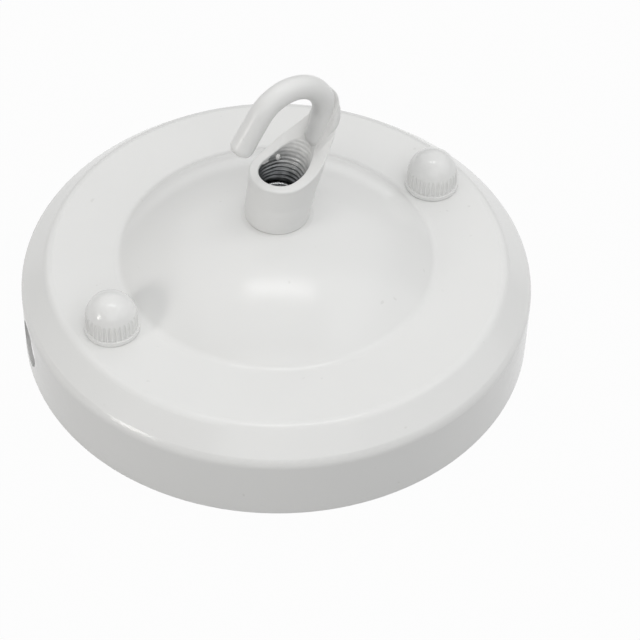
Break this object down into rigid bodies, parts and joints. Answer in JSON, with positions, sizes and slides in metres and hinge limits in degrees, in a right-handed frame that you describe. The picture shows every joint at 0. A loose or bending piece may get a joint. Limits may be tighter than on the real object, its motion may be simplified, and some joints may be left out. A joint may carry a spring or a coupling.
{
  "type": "light fixture ceiling canopy",
  "caption": "Round pressed steel ceiling canopy with a shallow dome, fluted cap nuts, a threaded socket that ends in an open wire hook, and a mounting strap behind.",
  "frame": {"origin": "centre of the canopy's rim, in the plane that lies against the ceiling", "axes": "+Z points away from the ceiling along the hook's socket, +X runs through the two cap nuts towards the tall side of the hook, +Y completes a right-handed frame"},
  "size_m": [0.12, 0.12, 0.0738],
  "materials": {
    "white_paint": "gloss white enamel",
    "zinc_steel": "bright zinc plated",
    "earth_brass": "plain machined brass"
  },
  "bodies": {
    "canopy": {"canopy": "white_paint", "threaded_nipple": "zinc_steel", "nipple_washer": "zinc_steel", "nipple_lock_nut": "zinc_steel", "mounting_bracket": "zinc_steel", "left_stud": "zinc_steel", "right_stud": "zinc_steel", "left_stud_lock_nut": "zinc_steel", "right_stud_lock_nut": "zinc_steel", "earth_screw": "earth_brass", "earth_washer": "earth_brass"},
    "hook": {"hook": "white_paint"},
    "left_cap_nut": {"left_cap_nut": "white_paint"},
    "right_cap_nut": {"right_cap_nut": "white_paint"}
  },
  "joints": [
    {"name": "hook_turn", "type": "hinge", "parent": "canopy", "child": "hook", "pos_m": [0, 0, 0.0355], "axis": [0, 0, 1], "continuous": true},
    {"name": "left_cap_nut_turn", "type": "hinge", "parent": "canopy", "child": "left_cap_nut", "pos_m": [-0.0445, 0, 0.0225], "axis": [0, 0, 1], "continuous": true},
    {"name": "right_cap_nut_turn", "type": "hinge", "parent": "canopy", "child": "right_cap_nut", "pos_m": [0.0445, 0, 0.0225], "axis": [0, 0, 1], "continuous": true}
  ]
}
